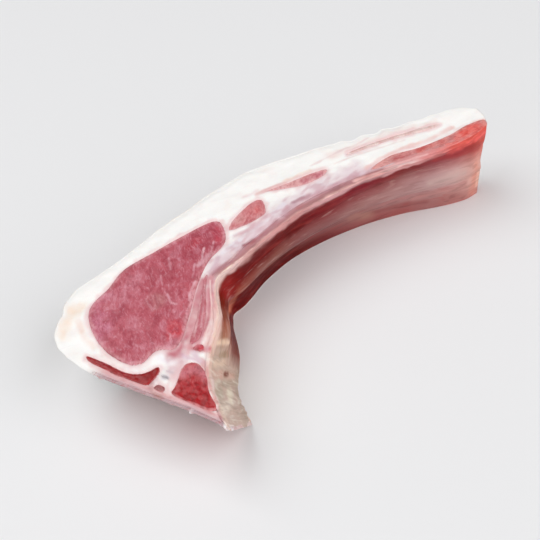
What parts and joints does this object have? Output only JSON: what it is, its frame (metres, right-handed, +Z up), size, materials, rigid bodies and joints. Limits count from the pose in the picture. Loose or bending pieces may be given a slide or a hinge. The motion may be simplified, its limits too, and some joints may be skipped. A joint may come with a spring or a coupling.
{
  "type": "lamb cutlet",
  "caption": "Raw lamb rib cutlet, untrimmed, lying flat: round eye of meat, back fat, split backbone and one curved rib with its meat and fat left on.",
  "frame": {"origin": "middle of the cutlet's box, on the surface that it lies on", "axes": "+X from the split backbone to the end of the rib, +Y from the chest side to the back fat, +Z up through the slice"},
  "size_m": [0.1304, 0.0686, 0.023],
  "materials": {
    "fat": "waxy off-white fat with a damp sheen",
    "rosy_meat": "rosy lean meat with fine grain and pale marbling, damp",
    "pink_meat": "paler pink lean meat, damp",
    "coral_meat": "coral red lean meat, damp",
    "dark_meat": "dark red meat under a thin glossy membrane",
    "rib": "greyish pink bone under a thin glossy membrane",
    "red_bone": "dark red spongy bone, damp",
    "bone_edge": "pale pink sawn bone",
    "ligament": "greyish tan sinew, satin"
  },
  "bodies": {
    "root": {"fat": "fat", "eye_muscle": "rosy_meat", "rib_side_muscle": "pink_meat", "oval_muscle": "pink_meat", "strap_muscle": "pink_meat", "tail_muscle": "coral_meat", "cap_streak": "pink_meat", "upper_rib_meat": "dark_meat", "lower_rib_meat": "dark_meat", "rib_bone": "rib", "vertebra": "red_bone", "feather_bone": "red_bone", "lamina_bone": "red_bone", "rib_head": "red_bone", "chine_strip": "bone_edge", "chest_ligament": "ligament"}
  },
  "joints": []
}
